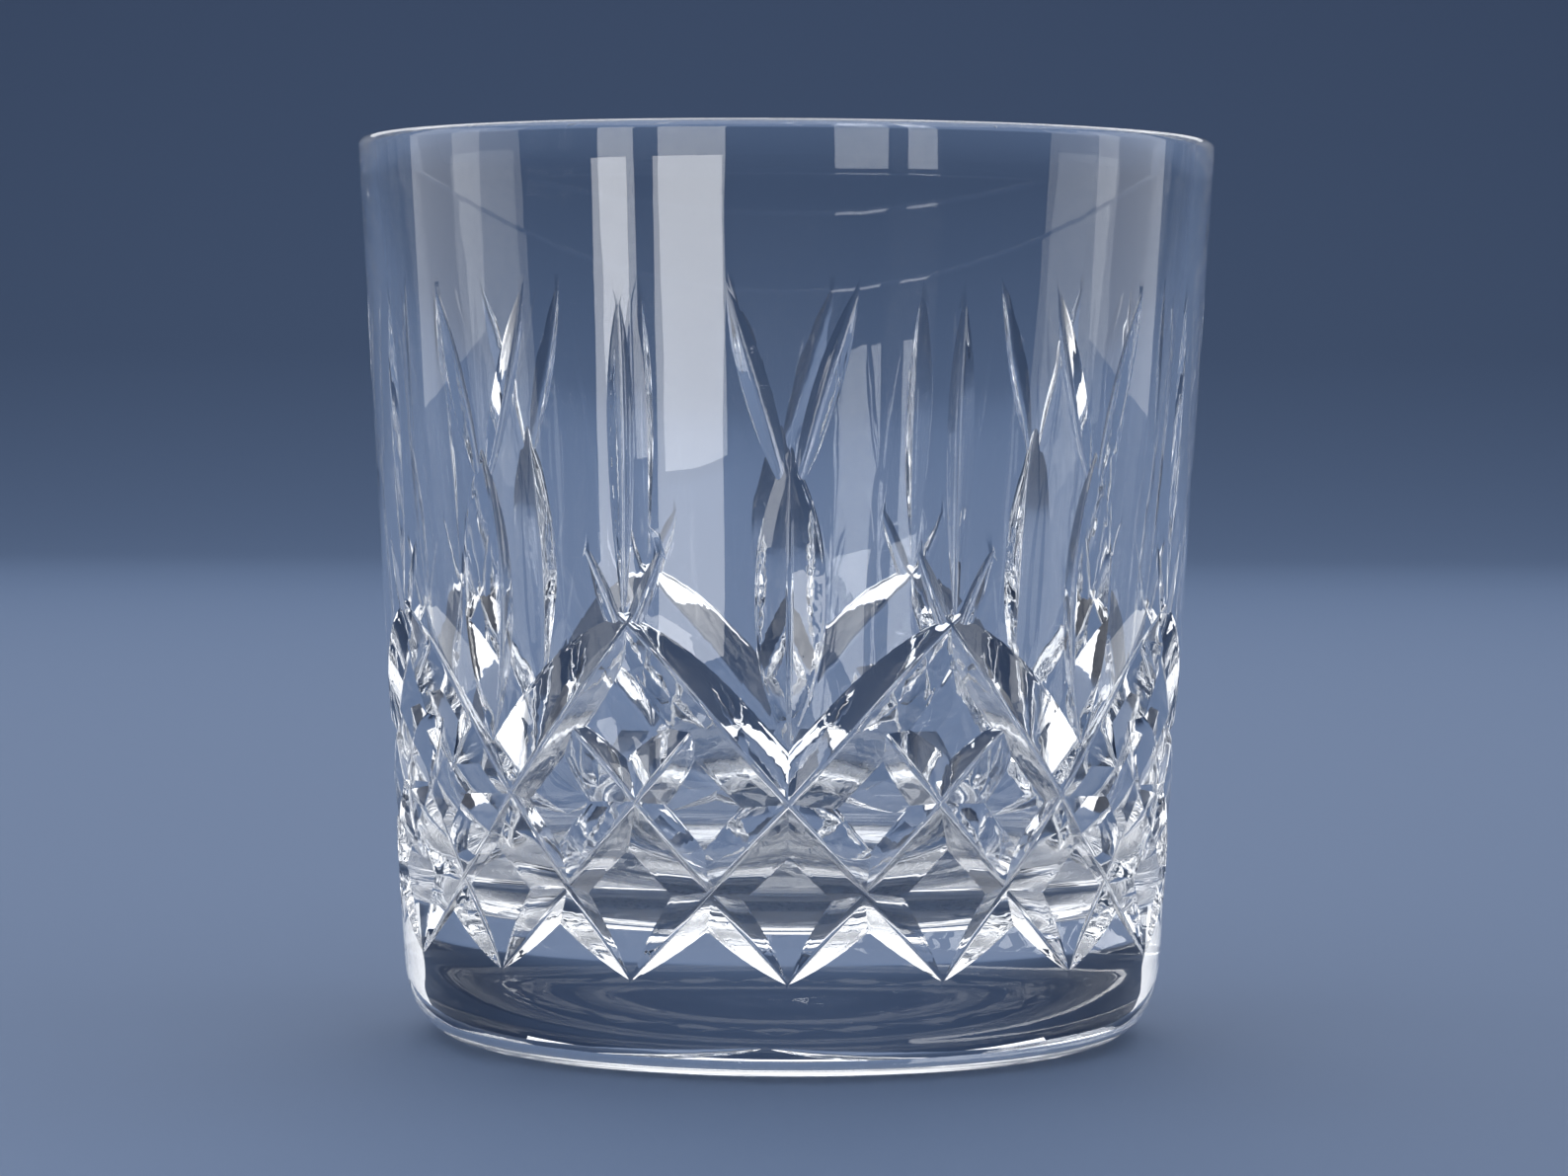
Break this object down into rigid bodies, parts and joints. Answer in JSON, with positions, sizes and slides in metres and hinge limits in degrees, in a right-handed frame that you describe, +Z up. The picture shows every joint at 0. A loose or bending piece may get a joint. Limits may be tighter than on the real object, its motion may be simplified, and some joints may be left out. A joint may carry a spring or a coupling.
{
  "type": "whiskey tumbler",
  "caption": "Cut-crystal whiskey tumbler with a thick base, a band of cut diamonds round the lower wall and upright wedge cuts with splayed tips above it.",
  "frame": {"origin": "centre of the foot, on the surface the glass stands on", "axes": "+Z up along the axis of the glass, through the middle of the rim; -Y is the front, through the middle of a wedge cut"},
  "size_m": [0.083, 0.083, 0.087],
  "materials": {
    "crystal": "clear lead crystal, wheel-cut and polished"
  },
  "bodies": {
    "root": {"tumbler_glass": "crystal"}
  },
  "joints": []
}
